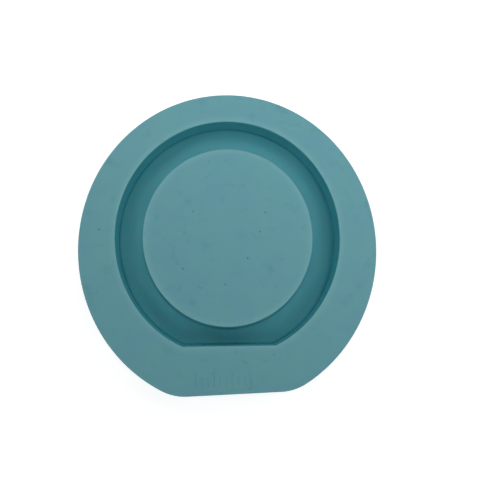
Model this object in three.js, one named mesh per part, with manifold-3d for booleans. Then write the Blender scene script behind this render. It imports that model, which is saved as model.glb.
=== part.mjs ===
// A one-piece silicone mould for casting a round, standing picture frame in
// resin. The block is a disc with a flat foot. Sunk into its top is a
// ring-shaped channel with a flat foot of its own, and the round island that
// is left in the middle makes the picture opening of the cast. The tops of the
// block and the island are one plane, and resin is filled level with it.
//
// Millimetres. +Z is up, out of the channel's mouth. -Y is the side of the
// flat foot. The origin is the ring's centre, on the underside.

import * as THREE from "three";
import { mergeVertices } from "three/addons/utils/BufferGeometryUtils.js";
import Module from "manifold-3d";

// The cast frame, as the channel's mouth gives it.
const OPENING_RADIUS = 42.9;
const RING_WIDTH = 13.65;
const FOOT_BAND = 8.75; // the ring's width at the middle of its foot
const CAST_CORNER_RADIUS = 1.5;
const CAST_THICKNESS = 12;

// The silicone around the channel.
const LEFT_WALL = 18.25;
const RIGHT_WALL = 18.65;
const TOP_WALL = 13.65;
const FLOOR = 4;
const BLOCK_FOOT_WIDTH = 58; // between the corners as if they were sharp
const BLOCK_CORNER_RADIUS = 26.5;
const BLOCK_FOOT_TURN = THREE.MathUtils.degToRad(1.8); // out of line with the cast's foot

// Y sizes over X sizes: every outline is drawn round, then drawn out to an oval.
const OVAL = 1.053;

// How the walls meet the floor and the top.
const WALL_DRAFT = 0.5; // each channel wall leans this far over its height, to let the cast go
const FLOOR_FILLET = 0.25;
const EDGE_RADIUS = 0.5;

// A row of shallow tick marks, pressed into the wide margin at the foot.
const TICK_COUNT = 10;
const TICKS_PER_LONG_TICK = 3;
const TICK_PITCH = 3;
const TICK_WIDTH = 0.7;
const TICK_LENGTH = 4.2;
const LONG_TICK_LENGTH = 6.6;
const TICK_DEPTH = 0.25;
const TICK_ROW_X = -5.4;
const TICK_ROW_MARGIN = 3.8; // from the block's foot to the lower ends of the ticks

// How finely curves are drawn, and how far a cutting tool reaches past a face.
const ARC_STEPS = 88;
const CORNER_STEPS = 8;
const ROUND_STEPS = 3;
const TOOL_REACH = 1;

const HEIGHT = FLOOR + CAST_THICKNESS;
const CAST_RADIUS = OPENING_RADIUS + RING_WIDTH;
const CAST_FOOT_DISTANCE = OPENING_RADIUS + FOOT_BAND;
const BLOCK_RADIUS = CAST_RADIUS + (LEFT_WALL + RIGHT_WALL) / 2;
const BLOCK_CENTRE_X = (RIGHT_WALL - LEFT_WALL) / 2;
const BLOCK_CENTRE_Y = CAST_RADIUS + TOP_WALL - BLOCK_RADIUS;
const BLOCK_FOOT_DISTANCE = Math.sqrt(BLOCK_RADIUS ** 2 - (BLOCK_FOOT_WIDTH / 2) ** 2);

const wasm = await Module();
wasm.setup();

function toSolid(geometry) {
  geometry.deleteAttribute("normal");
  geometry.deleteAttribute("uv");
  const merged = mergeVertices(geometry);
  return new wasm.Manifold(
    new wasm.Mesh({
      numProp: 3,
      vertProperties: merged.getAttribute("position").array,
      triVerts: new Uint32Array(merged.index.array),
    }),
  );
}

function toGeometry(solid) {
  const { vertProperties, triVerts } = solid.getMesh();
  const geometry = new THREE.BufferGeometry();
  geometry.setAttribute("position", new THREE.BufferAttribute(vertProperties, 3));
  geometry.setIndex(new THREE.BufferAttribute(triVerts, 1));
  geometry.computeVertexNormals();
  return geometry;
}

// Points along an arc, without its last one, so that arcs can follow each other.
function arc(centreX, centreY, radius, from, to, steps) {
  return Array.from({ length: steps }, (_, i) => {
    const angle = THREE.MathUtils.lerp(from, to, i / steps);
    return new THREE.Vector2(
      centreX + radius * Math.cos(angle),
      centreY + radius * Math.sin(angle),
    );
  });
}

function discOutline(radius) {
  return arc(0, 0, radius, 0, 2 * Math.PI, ARC_STEPS);
}

// A disc cut off by a flat foot at -Y. Each corner's arc touches both the disc
// and the foot, so its centre lies a corner radius inside both.
function footedOutline(radius, footDistance, cornerRadius) {
  const y = cornerRadius - footDistance;
  const x = Math.sqrt((radius - cornerRadius) ** 2 - y ** 2);
  const start = Math.atan2(y, x);
  const down = -Math.PI / 2;
  const leftCorner = arc(-x, y, cornerRadius, Math.PI - start, 2 * Math.PI + down, CORNER_STEPS);
  return [
    ...arc(0, 0, radius, start, Math.PI - start, ARC_STEPS),
    ...leftCorner,
    new THREE.Vector2(-x, -footDistance),
    ...arc(x, y, cornerRadius, down, start, CORNER_STEPS),
  ];
}

// A closed solid through outlines of the same number of points, from the lowest up.
function loft(sections) {
  const count = sections[0].outline.length;
  const positions = sections.flatMap(({ outline, z }) => outline.flatMap(({ x, y }) => [x, y, z]));
  const faces = [];
  for (let section = 1; section < sections.length; section++) {
    for (let i = 0; i < count; i++) {
      const upper = section * count + i;
      const nextUpper = section * count + ((i + 1) % count);
      faces.push(upper - count, nextUpper - count, nextUpper);
      faces.push(upper - count, nextUpper, upper);
    }
  }
  const topStart = (sections.length - 1) * count;
  for (const [a, b, c] of THREE.ShapeUtils.triangulateShape(sections[0].outline, [])) {
    faces.push(a, c, b);
  }
  for (const [a, b, c] of THREE.ShapeUtils.triangulateShape(sections.at(-1).outline, [])) {
    faces.push(topStart + a, topStart + b, topStart + c);
  }
  const geometry = new THREE.BufferGeometry();
  geometry.setAttribute("position", new THREE.Float32BufferAttribute(positions, 3));
  geometry.setIndex(faces);
  return geometry;
}

// A quarter round from a level face to an upright one: how far each point lies
// from the planes of the two faces, as a share of the radius.
const QUARTER_ROUND = Array.from({ length: ROUND_STEPS + 1 }, (_, i) => {
  const angle = (i / ROUND_STEPS) * (Math.PI / 2);
  return { fromLevel: 1 - Math.cos(angle), fromUpright: 1 - Math.sin(angle) };
});

// How far the block's outline draws in at each height, from the underside to the top.
function blockProfile() {
  const lowerEdge = QUARTER_ROUND.map(({ fromLevel, fromUpright }) => ({
    inset: EDGE_RADIUS * fromUpright,
    z: EDGE_RADIUS * fromLevel,
  }));
  const upperEdge = lowerEdge.map(({ inset, z }) => ({ inset, z: HEIGHT - z })).reverse();
  return [...lowerEdge, ...upperEdge];
}

// How far a channel wall stands into the channel at each height, from the floor
// to a little above the mouth. Both walls have this one profile.
function channelWallProfile() {
  const floorFillet = QUARTER_ROUND.map(({ fromLevel, fromUpright }) => ({
    inset: WALL_DRAFT + FLOOR_FILLET * fromUpright,
    z: FLOOR + FLOOR_FILLET * fromLevel,
  }));
  const mouthEdge = QUARTER_ROUND.map(({ fromLevel, fromUpright }) => ({
    inset: -EDGE_RADIUS * fromUpright,
    z: HEIGHT - EDGE_RADIUS * fromLevel,
  })).reverse();
  const aboveMouth = { inset: -EDGE_RADIUS, z: HEIGHT + TOOL_REACH };
  return [...floorFillet, ...mouthEdge, aboveMouth];
}

// From the block's own frame, centred on its disc and square to its foot, to the part's.
function placeOnBlock(geometry) {
  return geometry.rotateZ(BLOCK_FOOT_TURN).translate(BLOCK_CENTRE_X, BLOCK_CENTRE_Y, 0);
}

function makeBlock() {
  const sections = blockProfile().map(({ inset, z }) => ({
    outline: footedOutline(
      BLOCK_RADIUS - inset,
      BLOCK_FOOT_DISTANCE - inset,
      BLOCK_CORNER_RADIUS - inset,
    ),
    z,
  }));
  return toSolid(placeOnBlock(loft(sections)));
}

// The space that the resin fills: the footed disc of the cast less the island.
function makeChannel() {
  const profile = channelWallProfile();
  const cast = profile.map(({ inset, z }) => ({
    outline: footedOutline(
      CAST_RADIUS - inset,
      CAST_FOOT_DISTANCE - inset,
      CAST_CORNER_RADIUS,
    ),
    z,
  }));
  const island = profile.map(({ inset, z }) => ({ outline: discOutline(OPENING_RADIUS + inset), z }));
  return toSolid(loft(cast)).subtract(toSolid(loft(island)));
}

// Ticks stand on one line, parallel to the block's foot, and every third is long.
function makeTicks() {
  const rowLength = (TICK_COUNT - 1) * TICK_PITCH;
  const ticks = Array.from({ length: TICK_COUNT }, (_, i) => {
    const length = i % TICKS_PER_LONG_TICK === 0 ? LONG_TICK_LENGTH : TICK_LENGTH;
    const tick = new THREE.BoxGeometry(TICK_WIDTH, length, TICK_DEPTH + TOOL_REACH);
    tick.translate(
      TICK_ROW_X + i * TICK_PITCH - rowLength / 2,
      TICK_ROW_MARGIN - BLOCK_FOOT_DISTANCE + length / 2,
      HEIGHT + (TOOL_REACH - TICK_DEPTH) / 2,
    );
    return toSolid(placeOnBlock(tick));
  });
  return ticks.reduce((row, tick) => row.add(tick));
}

const silicone = new THREE.MeshStandardMaterial({
  color: "#5e96a0",
  roughness: 0.6,
  metalness: 0,
});

const mouldBody = new THREE.Mesh(
  toGeometry(makeBlock().subtract(makeChannel()).subtract(makeTicks())),
  silicone,
);
mouldBody.name = "mould_body";
mouldBody.scale.y = OVAL;

const mould = new THREE.Group();
mould.add(mouldBody);

export default mould;
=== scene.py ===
"""A one-piece silicone mould that casts a round, standing picture frame in resin.

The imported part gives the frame: metres, +Z up out of the channel's mouth, -Y towards
the flat foot. The mould's own sizes are in millimetres until its mesh is made.
"""

import math

import bpy
import numpy as np
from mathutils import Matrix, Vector


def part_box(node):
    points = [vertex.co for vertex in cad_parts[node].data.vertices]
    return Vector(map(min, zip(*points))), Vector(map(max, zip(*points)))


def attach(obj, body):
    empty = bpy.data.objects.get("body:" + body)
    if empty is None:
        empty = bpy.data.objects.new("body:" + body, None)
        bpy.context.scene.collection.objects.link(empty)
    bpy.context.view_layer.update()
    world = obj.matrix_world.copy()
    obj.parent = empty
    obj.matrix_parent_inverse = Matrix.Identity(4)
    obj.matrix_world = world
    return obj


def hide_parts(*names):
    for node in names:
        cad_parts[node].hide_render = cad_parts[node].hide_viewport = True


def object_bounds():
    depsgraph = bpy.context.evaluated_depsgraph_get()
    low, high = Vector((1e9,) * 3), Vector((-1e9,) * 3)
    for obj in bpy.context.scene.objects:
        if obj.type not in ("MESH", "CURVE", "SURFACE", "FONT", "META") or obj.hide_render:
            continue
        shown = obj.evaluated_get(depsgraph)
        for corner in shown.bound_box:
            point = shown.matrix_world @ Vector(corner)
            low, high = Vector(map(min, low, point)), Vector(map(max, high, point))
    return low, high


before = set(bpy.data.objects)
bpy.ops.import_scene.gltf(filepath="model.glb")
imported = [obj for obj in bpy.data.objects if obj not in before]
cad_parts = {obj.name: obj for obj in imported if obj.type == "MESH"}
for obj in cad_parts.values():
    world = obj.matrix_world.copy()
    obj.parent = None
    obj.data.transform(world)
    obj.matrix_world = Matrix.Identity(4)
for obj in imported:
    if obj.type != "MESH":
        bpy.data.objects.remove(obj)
cad_low, cad_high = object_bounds()
scene = bpy.context.scene


# The camera: a plain 50 mm lens held by hand over the mould, a little towards its
# foot and its left, so that the far and the right-hand walls of the channel show most.
MM = 0.001
EYE = Vector((-8.3, -43.8, 332.5)) * MM + Vector((0, 0, cad_high.z))
TILT = [math.radians(degrees) for degrees in (7.23, -2.37, -0.75)]

camera = bpy.data.objects.new("camera", bpy.data.cameras.new("camera"))
camera.data.lens = 50
camera.data.sensor_width = 36
camera.data.clip_start = 0.01
camera.data.clip_end = 20
camera.location = EYE
camera.rotation_euler = TILT
scene.collection.objects.link(camera)
scene.camera = camera


# The mould: one casting of soft silicone rubber, pressed in a metal tool and peeled
# out. The block is a disc with a flat foot. Its channel has the shape of the cast
# frame, and the round island in the middle keeps the frame's opening free.
OPENING_RADIUS = 42.9
RING_WIDTH = 13.65
FOOT_BAND = 8.75  # the ring's width at the middle of its foot
CAST_CORNER_RADIUS = 1.5
FLOOR = 4
BLOCK_FOOT_WIDTH = 58  # between the corners as if they were sharp
BLOCK_CORNER_RADIUS = 26.5
BLOCK_FOOT_TURN = math.radians(1.8)
OVAL = 1.053  # Y over X: outlines are worked out round, then drawn out
WALL_DRAFT = 0.5
FLOOR_FILLET = 0.25
EDGE_RADIUS = 0.5

# The block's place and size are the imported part's own.
mould_low, mould_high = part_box("mould_body")
HEIGHT = mould_high.z / MM
BLOCK_RADIUS = (mould_high.x - mould_low.x) / MM / 2
BLOCK_CENTRE = np.array([
    (mould_high.x + mould_low.x) / MM / 2,
    mould_high.y / MM / OVAL - BLOCK_RADIUS,
])
BLOCK_FOOT_DISTANCE = math.sqrt(BLOCK_RADIUS**2 - (BLOCK_FOOT_WIDTH / 2) ** 2)
CAST_RADIUS = OPENING_RADIUS + RING_WIDTH
CAST_FOOT_DISTANCE = OPENING_RADIUS + FOOT_BAND

# Points along an outline, on its disc, round each corner and along its foot. They are
# close together along the foot, where the tick marks are.
ARC_COLUMNS = 330
CORNER_COLUMNS = 20
FOOT_COLUMNS = 270
COLUMNS = ARC_COLUMNS + 2 * CORNER_COLUMNS + FOOT_COLUMNS


def footed_outline(radius, foot_distance, corner_radius):
    """A disc cut off by a straight foot, anticlockwise from the top of its right-hand corner.

    Each corner is an arc that touches both the disc and the foot, so its centre lies a
    corner radius inside both of them.
    """
    centre_y = corner_radius - foot_distance
    centre_x = math.sqrt((radius - corner_radius) ** 2 - centre_y**2)
    start = math.atan2(centre_y, centre_x)
    disc = np.linspace(start, np.pi - start, ARC_COLUMNS, endpoint=False)
    left = np.linspace(np.pi - start, 1.5 * np.pi, CORNER_COLUMNS, endpoint=False)
    right = np.linspace(-0.5 * np.pi, start, CORNER_COLUMNS, endpoint=False)
    x = np.concatenate([
        radius * np.cos(disc),
        corner_radius * np.cos(left) - centre_x,
        np.linspace(-centre_x, centre_x, FOOT_COLUMNS, endpoint=False),
        corner_radius * np.cos(right) + centre_x,
    ])
    y = np.concatenate([
        radius * np.sin(disc),
        corner_radius * np.sin(left) + centre_y,
        np.full(FOOT_COLUMNS, -foot_distance),
        corner_radius * np.sin(right) + centre_y,
    ])
    return np.stack([x, y], axis=1)


def cast_outline(inset):
    """The channel's outer wall, drawn in by the inset."""
    return footed_outline(CAST_RADIUS - inset, CAST_FOOT_DISTANCE - inset, CAST_CORNER_RADIUS)


def island_outline(inset):
    """The channel's inner wall: a circle, with its points in the outer wall's directions."""
    outer = cast_outline(0)
    return (OPENING_RADIUS + inset) * outer / np.linalg.norm(outer, axis=1, keepdims=True)


def block_outline(inset):
    """The block's outer wall, turned by the angle of its foot and moved to its centre."""
    points = footed_outline(
        BLOCK_RADIUS - inset, BLOCK_FOOT_DISTANCE - inset, BLOCK_CORNER_RADIUS - inset
    )
    cosine, sine = math.cos(BLOCK_FOOT_TURN), math.sin(BLOCK_FOOT_TURN)
    return points @ np.array([[cosine, sine], [-sine, cosine]]) + BLOCK_CENTRE


def stack(outline, insets):
    """One row of points for each inset."""
    return np.stack([outline(inset) for inset in insets])


def across(inner, outer, shares):
    """Rows of points on straight lines from one outline to another, at shares of the way."""
    return inner + (outer - inner) * shares[:, None, None]


def quarter_round(steps=5):
    """Distances from the level and from the upright face, in radii, from the level end."""
    angle = np.linspace(0, np.pi / 2, steps + 1)
    return 1 - np.cos(angle), 1 - np.sin(angle)


def smooth(value):
    """Goes from 0 to 1 as value does, and levels out at both ends."""
    value = np.clip(value, 0, 1)
    return value * value * (3 - 2 * value)


# A row of shallow ticks is pressed into the wide margin at the foot, as a plain gauge
# mark. They stand square to the block's foot, and every third is long.
TICK_COUNT = 10
TICKS_PER_LONG_TICK = 3
TICK_PITCH = 3
TICK_WIDTH = 0.7
TICK_LENGTH = 4.2
LONG_TICK_LENGTH = 6.6
TICK_DEPTH = 0.25
TICK_ROW_X = -5.4
TICK_ROW_MARGIN = 3.8
TICK_FLANK = 0.3  # the width over which a tick's side slopes down
TICK_SHADE = 0.12  # the share of painted shade at the bottom of a tick


def tick_depth(points):
    """How far the ticks go below the rim at each point.

    The point is turned back into the block's own frame. The nearest tick's depth is a
    slope across its width times a slope along its length.
    """
    cosine, sine = math.cos(BLOCK_FOOT_TURN), math.sin(BLOCK_FOOT_TURN)
    own = (points - BLOCK_CENTRE) @ np.array([[cosine, -sine], [sine, cosine]])
    place_in_row = (own[..., 0] - TICK_ROW_X) / TICK_PITCH + (TICK_COUNT - 1) / 2
    tick = np.clip(np.round(place_in_row), 0, TICK_COUNT - 1)
    length = np.where(tick % TICKS_PER_LONG_TICK == 0, LONG_TICK_LENGTH, TICK_LENGTH)
    from_middle = np.abs(place_in_row - tick) * TICK_PITCH
    from_half_way = np.abs(own[..., 1] + BLOCK_FOOT_DISTANCE - TICK_ROW_MARGIN - length / 2)
    inside_width = (TICK_WIDTH / 2 - from_middle) / TICK_FLANK + 0.5
    inside_length = (length / 2 - from_half_way) / TICK_FLANK + 0.5
    return TICK_DEPTH * smooth(inside_width) * smooth(inside_length)


# The soft top isn't a true plane. It is true at its edges, and sags in full this far
# from them.
SAG_FADE = 5


def sag(points):
    """How far the top lies below a true plane, from 0 to 0.1 mm.

    0.05 mm, plus a chequer of slow waves along X and Y that are 0.03 mm high, plus a slow
    wave along their diagonal that is 0.02 mm high.
    """
    x, y = points[..., 0], points[..., 1]
    chequer = np.sin(x / 19 + 0.6) * np.sin(y / 23 + 1.1)
    diagonal = np.sin((x + y) / 11)
    return 0.05 + 0.03 * chequer + 0.02 * diagonal


# The top is painted paler beside the mouth's edge, a painted highlight, and the channel's corners are
# painted darker, a painted shade. The painted shade lies widest by the outer wall on the right, as a
# painted shadow of that wall.
HIGHLIGHT_REACH = 4
SHADE_REACH = 1
RIGHT_SHADOW_REACH = 4


def highlight_near(distance):
    """Painted highlight on the top: 1 at the mouth's edge, 0 at its reach from it."""
    return smooth(1 - distance / HIGHLIGHT_REACH) ** 2


def shade_near(distance, reach=SHADE_REACH):
    """Painted shade in a corner of the channel: 1 in the corner, 0 at the reach away from it."""
    return smooth(1 - distance / reach)


def band(points, heights, polish_vs_sheen=0.0, edge_highlight=0.0, painted_shade=0.0):
    """Rows of the skin, each with its height, the polish that also sets where the painted sheen lies,
    and the painted highlight and painted shade that the material shows there.
    """
    shape = points.shape[:2]
    values = [np.broadcast_to(value, shape) for value in (heights, polish_vs_sheen, edge_highlight, painted_shade)]
    return np.concatenate([points, np.stack(values, axis=2)], axis=2)


# The skin is one grid of closed rows. They run from the middle of the island down into
# the channel, up over the rim, down the block's side and in to the middle of its underside.
from_level, from_upright = quarter_round()

# Lists of shares say where rows lie, closer together where the height, the polish or the painted light
# changes.
mouth_insets = -EDGE_RADIUS * from_upright
mouth_heights = (HEIGHT - EDGE_RADIUS * from_level)[:, None]
mouth_polish_vs_sheen = smooth(from_level)[:, None]

wall_shares = np.array([0.04, 0.2, 0.4, 0.6, 0.8, 0.91, 0.95, 0.98])
wall_insets = WALL_DRAFT * wall_shares
wall_depth = HEIGHT - EDGE_RADIUS - FLOOR - FLOOR_FILLET
wall_heights = (HEIGHT - EDGE_RADIUS - wall_depth * wall_shares)[:, None]
# The walls are painted darker towards the floor: painted shade in the corner.
wall_shade = shade_near(wall_heights - FLOOR)

fillet_insets = WALL_DRAFT + FLOOR_FILLET * from_upright
fillet_heights = (FLOOR + FLOOR_FILLET * from_level)[:, None]

island_shares = np.array(
    [0.06, 0.14, 0.24, 0.35, 0.46, 0.57, 0.67, 0.76, 0.84, 0.9, 0.94, 0.97, 0.985, 0.997]
)
island_top = across(np.zeros(2), island_outline(-EDGE_RADIUS), island_shares)
to_edge = (1 - island_shares)[:, None] * (OPENING_RADIUS - EDGE_RADIUS)
island_sag = sag(island_top) * smooth(to_edge / SAG_FADE)
# The island's top and its mouth are painted paler towards the mouth's edge: a painted highlight.
island_bands = [
    band(island_top, HEIGHT - island_sag, edge_highlight=highlight_near(to_edge)),
    band(stack(island_outline, mouth_insets), mouth_heights, mouth_polish_vs_sheen, edge_highlight=1.0),
    band(stack(island_outline, wall_insets), wall_heights, polish_vs_sheen=1.0, painted_shade=wall_shade),
    # The fillet into the floor is painted dark in full: painted shade.
    band(stack(island_outline, fillet_insets[::-1]), fillet_heights[::-1], polish_vs_sheen=1.0, painted_shade=1.0),
]

floor_shares = np.array(
    [0.012, 0.03, 0.05, 0.08, 0.15, 0.25, 0.37, 0.5, 0.63, 0.75, 0.85, 0.92, 0.95, 0.97, 0.988]
)
floor_inner = island_outline(fillet_insets[0])
floor_outer = cast_outline(fillet_insets[0])
floor_width = np.linalg.norm(floor_outer - floor_inner, axis=1)
to_inner = floor_shares[:, None] * floor_width
to_outer = (1 - floor_shares)[:, None] * floor_width
# This share is 1 at the ring's rightmost point, and under a tenth by 45 degrees from it.
on_the_right = np.clip(floor_outer[:, 0] / CAST_RADIUS, 0, 1) ** 8
# The floor is painted darker by both walls, a painted shade, and by the outer wall on the right this
# widens into a painted shadow of that wall.
outer_reach = SHADE_REACH + (RIGHT_SHADOW_REACH - SHADE_REACH) * on_the_right
floor_shade = shade_near(to_inner) + shade_near(to_outer, outer_reach)
channel_bands = [
    band(across(floor_inner, floor_outer, floor_shares), FLOOR, polish_vs_sheen=0.8, painted_shade=floor_shade),
    # The fillet into the floor is painted dark in full: painted shade.
    band(stack(cast_outline, fillet_insets), fillet_heights, polish_vs_sheen=1.0, painted_shade=1.0),
    band(
        stack(cast_outline, wall_insets[::-1]),
        wall_heights[::-1],
        polish_vs_sheen=1.0,
        painted_shade=wall_shade[::-1],
    ),
    # The outer mouth is painted paler in full: a painted highlight.
    band(stack(cast_outline, mouth_insets[::-1]), mouth_heights[::-1], mouth_polish_vs_sheen[::-1], edge_highlight=1.0),
]

rim_shares = np.concatenate([
    [0.003, 0.015, 0.04, 0.08, 0.13],
    np.linspace(0.18, 0.48, 7),
    np.linspace(0.5, 0.86, 34),
    [0.9, 0.94, 0.97, 0.985, 0.997],
])
mouth = cast_outline(-EDGE_RADIUS)
block_edge = block_outline(EDGE_RADIUS)
rim_top = across(mouth, block_edge, rim_shares)
rim_width = np.linalg.norm(block_edge - mouth, axis=1)
from_mouth = rim_shares[:, None] * rim_width
from_edge = (1 - rim_shares)[:, None] * rim_width
rim_sag = sag(rim_top) * smooth(from_mouth / SAG_FADE) * smooth(from_edge / SAG_FADE)
rim_ticks = tick_depth(rim_top)
side_heights = np.linspace(HEIGHT - EDGE_RADIUS, EDGE_RADIUS, 9)[1:-1, None]
under_shares = np.array([0.003, 0.02, 0.1, 0.25, 0.45, 0.65, 0.8, 0.92])
block_bands = [
    band(
        rim_top,
        HEIGHT - rim_sag - rim_ticks,
        # The rim is painted paler towards the mouth's edge: a painted highlight.
        edge_highlight=highlight_near(from_mouth),
        # The ticks' bottoms are painted a little darker: painted shade in the recess.
        painted_shade=TICK_SHADE * rim_ticks / TICK_DEPTH,
    ),
    band(stack(block_outline, EDGE_RADIUS * from_upright), HEIGHT - EDGE_RADIUS * from_level[:, None]),
    band(stack(block_outline, np.zeros(len(side_heights))), side_heights),
    band(stack(block_outline, EDGE_RADIUS * from_upright[::-1]), EDGE_RADIUS * from_level[::-1, None]),
    band(across(block_edge, BLOCK_CENTRE, under_shares), 0.0),
]
skin = np.concatenate(island_bands + channel_bands + block_bands)

# Two more points close the grid, in the middle of the island and of the underside.
# The names of the masks for the polish, which also sets the painted sheen, and for the painted
# highlight and painted shade.
FINISH_AND_PAINTED_LIGHT = ("polish_vs_sheen", "edge_highlight", "painted_shade")
island_middle = [0, 0, HEIGHT - sag(np.zeros(2)), 0, 0, 0]
under_middle = [*BLOCK_CENTRE, 0, 0, 0, 0]
vertices = np.concatenate([skin.reshape(-1, 3 + len(FINISH_AND_PAINTED_LIGHT)), [island_middle, under_middle]])
vertices[:, 1] *= OVAL

column = np.arange(COLUMNS)
following = (column + 1) % COLUMNS
row = np.arange(len(skin) - 1)[:, None] * COLUMNS
last_row = (len(skin) - 1) * COLUMNS
corners = [row + column, row + COLUMNS + column, row + COLUMNS + following, row + following]
quads = np.stack(corners, axis=2).reshape(-1, 4)
island_pole = np.full(COLUMNS, len(vertices) - 2)
under_pole = np.full(COLUMNS, len(vertices) - 1)
island_fan = np.stack([island_pole, column, following], axis=1)
under_fan = np.stack([under_pole, last_row + following, last_row + column], axis=1)

mesh = bpy.data.meshes.new("silicone_mould")
mesh.from_pydata(
    (vertices[:, :3] * MM).tolist(),
    [],
    quads.tolist() + island_fan.tolist() + under_fan.tolist(),
)
mesh.polygons.foreach_set("use_smooth", np.ones(len(mesh.polygons), bool))
for name, values in zip(FINISH_AND_PAINTED_LIGHT, vertices[:, 3:].T):
    mesh.attributes.new(name, "FLOAT", "POINT").data.foreach_set("value", values)
mould = bpy.data.objects.new("silicone_mould", mesh)
scene.collection.objects.link(mould)


def linear(hex_colour):
    """An sRGB hex colour as linear RGBA."""
    channels = [int(hex_colour[i : i + 2], 16) / 255 for i in (1, 3, 5)]
    return [c / 12.92 if c <= 0.04045 else ((c + 0.055) / 1.055) ** 2.4 for c in channels] + [1]


def add_node(tree, kind, inputs, output=0, **settings):
    """Adds a node, sets or links its inputs by name or number, and returns one of its outputs."""
    made = tree.nodes.new(kind)
    for name, value in settings.items():
        setattr(made, name, value)
    for name, value in inputs.items():
        if isinstance(value, bpy.types.NodeSocket):
            tree.links.new(value, made.inputs[name])
        else:
            made.inputs[name].default_value = value
    return made.outputs[output]


def blend(tree, share, first, second):
    """A colour that is a share of the way from the first to the second."""
    inputs = {0: share, 6: first, 7: second}
    return add_node(tree, "ShaderNodeMix", inputs, output=2, data_type="RGBA")


def per_mm(size):
    """The scale of a pattern whose features are this many millimetres apart."""
    return 1 / (size * MM)


def scattered_marks(tree, place, spacing, radius, strength):
    """A share that is the strength in the middle of each scattered round mark, and 0 outside.

    It stays at the strength out to 0.4 of the mark's radius, then falls evenly.
    """
    distance = add_node(
        tree,
        "ShaderNodeTexVoronoi",
        {"Vector": place, "Scale": per_mm(spacing)},
        output="Distance",
    )
    limits = {"From Min": 0.4 * radius / spacing, "From Max": radius / spacing}
    shares = {"To Min": strength, "To Max": 0.0}
    return add_node(tree, "ShaderNodeMapRange", {"Value": distance} | limits | shares)


# Silicone rubber, pressed in a blasted tool: an even matte skin on top, painted paler and greyer there
# as a painted sheen. Inside the channel the castings have polished the rubber, so it shows its own
# deeper, more saturated colour, and its corners are painted darker as painted shade.
MATTE_SHEEN_GREENER = linear("#5c959b")
MATTE_SHEEN_BLUER = linear("#5b929d")
POLISHED = linear("#3895a1")
POLISHED_DULLER = linear("#40949f")
HIGHLIGHT_COLOUR = linear("#86b4b8")
SHADE_COLOUR = linear("#0a6e7d")
SMUDGE = linear("#3f7d88")
SPECK = linear("#2c5a60")

silicone = bpy.data.materials.new("pressed_silicone_rubber")
silicone.use_nodes = True
tree = silicone.node_tree
tree.nodes.clear()
place = add_node(tree, "ShaderNodeTexCoord", {}, output="Object")
polish_vs_sheen, edge_highlight, painted_shade = (
    add_node(tree, "ShaderNodeAttribute", {}, output="Fac", attribute_name=name) for name in FINISH_AND_PAINTED_LIGHT
)

# Pigment that wasn't stirred in quite evenly gives clouds a centimetre or two across.
clouds = add_node(
    tree, "ShaderNodeTexNoise", {"Vector": place, "Scale": per_mm(14), "Detail": 2.0}
)
cloud_share = add_node(
    tree, "ShaderNodeMapRange", {"Value": clouds, "From Min": 0.35, "From Max": 0.65}
)
# The matte top's colours hold a painted sheen: paler and greyer than the rubber's own colour in the
# channel.
matte_with_sheen = blend(tree, cloud_share, MATTE_SHEEN_GREENER, MATTE_SHEEN_BLUER)

# Finger grease leaves soft smudges a few millimetres wide on the matte top.
smears = add_node(
    tree, "ShaderNodeTexNoise", {"Vector": place, "Scale": per_mm(6), "Detail": 3.0}
)
smudge_share = add_node(
    tree, "ShaderNodeMapRange", {"Value": smears, "From Min": 0.58, "From Max": 0.78, "To Max": 0.32}
)
matte_with_sheen = blend(tree, smudge_share, matte_with_sheen, SMUDGE)

# Lint and crumbs of resin show as a few soft dark specks, about a millimetre across.
# Scuffs from the bench and the scraper are the same marks, drawn out to five times the length.
scuff_place = add_node(
    tree,
    "ShaderNodeMapping",
    {"Vector": place, "Rotation": (0, 0, math.radians(55)), "Scale": (1, 5, 1)},
    vector_type="TEXTURE",
)
speck_share = scattered_marks(tree, place, spacing=9, radius=0.65, strength=0.75)
scuff_share = scattered_marks(tree, scuff_place, spacing=6, radius=0.4, strength=0.35)
matte_with_sheen = blend(tree, speck_share, matte_with_sheen, SPECK)
matte_with_sheen = blend(tree, scuff_share, matte_with_sheen, SPECK)

# The polished channel is clouded too, faintly, at the scale of the smudges.
floor_clouds = add_node(
    tree, "ShaderNodeMapRange", {"Value": smears, "From Min": 0.4, "From Max": 0.6}
)
polished = blend(tree, floor_clouds, POLISHED, POLISHED_DULLER)
# Where the polish share is 0 the colour holds the painted sheen of the matte top; at 1 it is the
# polished channel's own colour.
skin_colour = blend(tree, polish_vs_sheen, matte_with_sheen, polished)

# The painted highlight pales the top by less than a fifth at its most.
highlight_share = add_node(tree, "ShaderNodeMath", {0: edge_highlight, 1: 0.18}, operation="MULTIPLY")
skin_colour = blend(tree, highlight_share, skin_colour, HIGHLIGHT_COLOUR)

# The painted shade is stronger in some places than in others.
shade_strength = add_node(
    tree,
    "ShaderNodeMapRange",
    {"Value": clouds, "From Min": 0.3, "From Max": 0.7, "To Min": 0.6, "To Max": 0.95},
)
shade_share = add_node(tree, "ShaderNodeMath", {0: painted_shade, 1: shade_strength}, operation="MULTIPLY")
# The painted shade darkens the corners and the ticks' bottoms.
skin_colour = blend(tree, shade_share, skin_colour, SHADE_COLOUR)

# The blasted tool leaves a grain of 0.1 mm. It is drawn at 0.4 mm, so that it shows.
grain = add_node(
    tree, "ShaderNodeTexNoise", {"Vector": place, "Scale": per_mm(0.4), "Detail": 2.0}
)
grain_bump = add_node(
    tree, "ShaderNodeBump", {"Height": grain, "Strength": 0.35, "Distance": 0.02 * MM}
)
roughness = add_node(
    tree, "ShaderNodeMapRange", {"Value": polish_vs_sheen, "To Min": 0.62, "To Max": 0.45}
)

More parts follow.
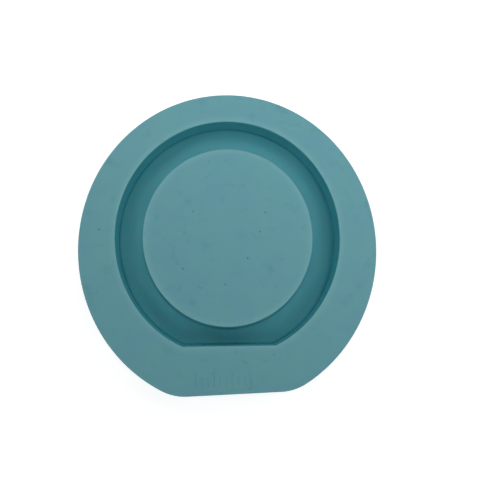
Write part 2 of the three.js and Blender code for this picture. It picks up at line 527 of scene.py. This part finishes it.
# Light goes a millimetre or two into the rubber, red the least, and softens its edges.
shader = add_node(
    tree,
    "ShaderNodeBsdfPrincipled",
    {
        "Base Color": skin_colour,
        "Roughness": roughness,
        "IOR": 1.41,
        "Subsurface Weight": 0.3,
        "Subsurface Radius": (0.4, 1.0, 1.0),
        "Subsurface Scale": 1.5 * MM,
        "Normal": grain_bump,
    },
)
tree.links.new(shader, tree.nodes.new("ShaderNodeOutputMaterial").inputs["Surface"])
mesh.materials.append(silicone)

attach(mould, "root")
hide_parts("mould_body")


# The floor: a wide sheet of pale opal acrylic, lit from below as a light table is, so
# that the mould's shadow stays faint.
TABLE_HALF_WIDTH = 3.0
TABLE_GAP = 0.0001
TABLE_GLOW = 0.7
table_mesh = bpy.data.meshes.new("light_table")
table_mesh.from_pydata(
    [
        (x * TABLE_HALF_WIDTH, y * TABLE_HALF_WIDTH, -TABLE_GAP)
        for x, y in ((-1, -1), (1, -1), (1, 1), (-1, 1))
    ],
    [],
    [(0, 1, 2, 3)],
)
table = bpy.data.objects.new("light_table", table_mesh)
scene.collection.objects.link(table)

opal = bpy.data.materials.new("opal_acrylic")
opal.use_nodes = True
opal_shader = opal.node_tree.nodes["Principled BSDF"]
opal_shader.inputs["Base Color"].default_value = linear("#bcbcbc")
opal_shader.inputs["Roughness"].default_value = 0.9
opal_shader.inputs["Emission Color"].default_value = linear("#ffffff")
opal_shader.inputs["Emission Strength"].default_value = TABLE_GLOW
table_mesh.materials.append(opal)


# The light: a ring of eight soft round lamps, all at one angle above the table. The four
# over the far side and the right stand close. The room behind is as bright as the table's
# own glow, but gives the mould hardly any light.
LAMP_ELEVATION = math.radians(47)
CLOSE_LAMP = {"distance": 0.32, "size": 0.15, "watts": 0.2}
FAR_LAMP = {"distance": 1.2, "size": 0.5, "watts": 1.9}
ROOM_LIGHT = 0.02
for degrees in range(0, 360, 45):
    lamp = CLOSE_LAMP if degrees < 180 else FAR_LAMP
    azimuth = math.radians(degrees)
    direction = Vector((
        math.cos(LAMP_ELEVATION) * math.cos(azimuth),
        math.cos(LAMP_ELEVATION) * math.sin(azimuth),
        math.sin(LAMP_ELEVATION),
    ))
    name = f"lamp_{degrees}"
    light = bpy.data.objects.new(name, bpy.data.lights.new(name, "AREA"))
    light.data.shape = "DISK"
    light.data.size = lamp["size"]
    light.data.energy = lamp["watts"]
    light.location = direction * lamp["distance"]
    light.rotation_mode = "QUATERNION"
    light.rotation_quaternion = (-direction).to_track_quat("-Z", "Y")
    light.visible_camera = False
    scene.collection.objects.link(light)

world = bpy.data.worlds.new("room")
world.use_nodes = True
seen = add_node(world.node_tree, "ShaderNodeLightPath", {}, output="Is Camera Ray")
brightness = add_node(
    world.node_tree,
    "ShaderNodeMapRange",
    {"Value": seen, "To Min": ROOM_LIGHT, "To Max": TABLE_GLOW},
)
background = world.node_tree.nodes["Background"]
background.inputs["Color"].default_value = linear("#ffffff")
world.node_tree.links.new(brightness, background.inputs["Strength"])
scene.world = world
scene.view_settings.view_transform = "Standard"
